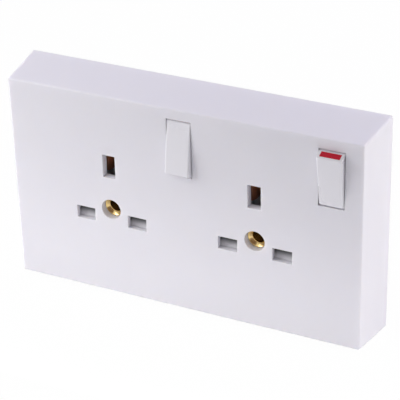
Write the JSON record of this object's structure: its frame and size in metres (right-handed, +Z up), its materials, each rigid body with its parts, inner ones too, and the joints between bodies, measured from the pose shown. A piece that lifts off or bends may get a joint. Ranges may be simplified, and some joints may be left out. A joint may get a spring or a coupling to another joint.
{
  "type": "switched double socket converter",
  "caption": "Deep white wall plate that converts a flush box to switched three-pin outlets side by side, with rocker switches, shuttered slots and brass-eyed fixing holes.",
  "frame": {"origin": "midway between the two fixing holes, on the wall plane where the plate's back rim lies", "axes": "+X to the right seen from the front, +Y into the wall, +Z up; the front face looks along -Y"},
  "size_m": [0.149, 0.0336, 0.0891],
  "materials": {
    "white_moulding": "smooth white moulding, soft gloss",
    "rocker_moulding": "smooth white moulding, soft gloss",
    "red_flash": "smooth red moulding",
    "shutter_moulding": "white moulding",
    "base_moulding": "white moulding, satin",
    "eyelet_brass": "bright turned brass",
    "contact_brass": "dull rolled brass",
    "terminal_brass": "machined brass",
    "plated_screw": "zinc plated",
    "plunger_nylon": "natural nylon",
    "spring_steel": "drawn wire"
  },
  "bodies": {
    "housing": {"front_housing": "white_moulding", "rear_base": "base_moulding", "left_fixing_eyelet": "eyelet_brass", "right_fixing_eyelet": "eyelet_brass", "earth_strap": "contact_brass", "neutral_bar": "contact_brass", "line_feed_bar": "contact_brass", "left_line_clip": "contact_brass", "right_line_clip": "contact_brass", "line_terminal": "terminal_brass", "earth_terminal": "terminal_brass", "neutral_terminal": "terminal_brass", "terminal_screws": "plated_screw", "base_screws": "plated_screw", "left_shutter_spring": "spring_steel", "right_shutter_spring": "spring_steel"},
    "left_rocker_body": {"left_rocker": "rocker_moulding", "left_on_flash": "red_flash", "left_plunger": "plunger_nylon", "left_plunger_spring": "spring_steel"},
    "left_contact_body": {"left_rocking_contact": "contact_brass"},
    "left_shutter_body": {"left_shutter": "shutter_moulding"},
    "right_rocker_body": {"right_rocker": "rocker_moulding", "right_on_flash": "red_flash", "right_plunger": "plunger_nylon", "right_plunger_spring": "spring_steel"},
    "right_contact_body": {"right_rocking_contact": "contact_brass"},
    "right_shutter_body": {"right_shutter": "shutter_moulding"}
  },
  "joints": [
    {"name": "left_rocker_tilt", "type": "hinge", "parent": "housing", "child": "left_rocker_body", "pos_m": [0, -0.019, 0.03217], "axis": [1, 0, 0], "range_deg": [0, 18]},
    {"name": "left_contact_tilt", "type": "hinge", "parent": "housing", "child": "left_contact_body", "pos_m": [0, -0.01288, 0.03217], "axis": [1, 0, 0], "range_deg": [-14.4, 0]},
    {"name": "left_shutter_slide", "type": "slide", "parent": "housing", "child": "left_shutter_body", "axis": [0, 0, -1], "range_m": [0, 0.006], "stiffness_N_per_m": 150, "springref_m": -0.004, "deforming": ["left_shutter_spring"]},
    {"name": "right_rocker_tilt", "type": "hinge", "parent": "housing", "child": "right_rocker_body", "pos_m": [0.0603, -0.019, 0.03217], "axis": [1, 0, 0], "range_deg": [-18, 0]},
    {"name": "right_contact_tilt", "type": "hinge", "parent": "housing", "child": "right_contact_body", "pos_m": [0.0603, -0.01288, 0.03217], "axis": [1, 0, 0], "range_deg": [0, 14.4]},
    {"name": "right_shutter_slide", "type": "slide", "parent": "housing", "child": "right_shutter_body", "axis": [0, 0, -1], "range_m": [0, 0.006], "stiffness_N_per_m": 150, "springref_m": -0.004, "deforming": ["right_shutter_spring"]}
  ],
  "couplings": [
    {"joint": "left_contact_tilt", "follows": "left_rocker_tilt", "ratio": -0.8},
    {"joint": "right_contact_tilt", "follows": "right_rocker_tilt", "ratio": -0.8}
  ]
}
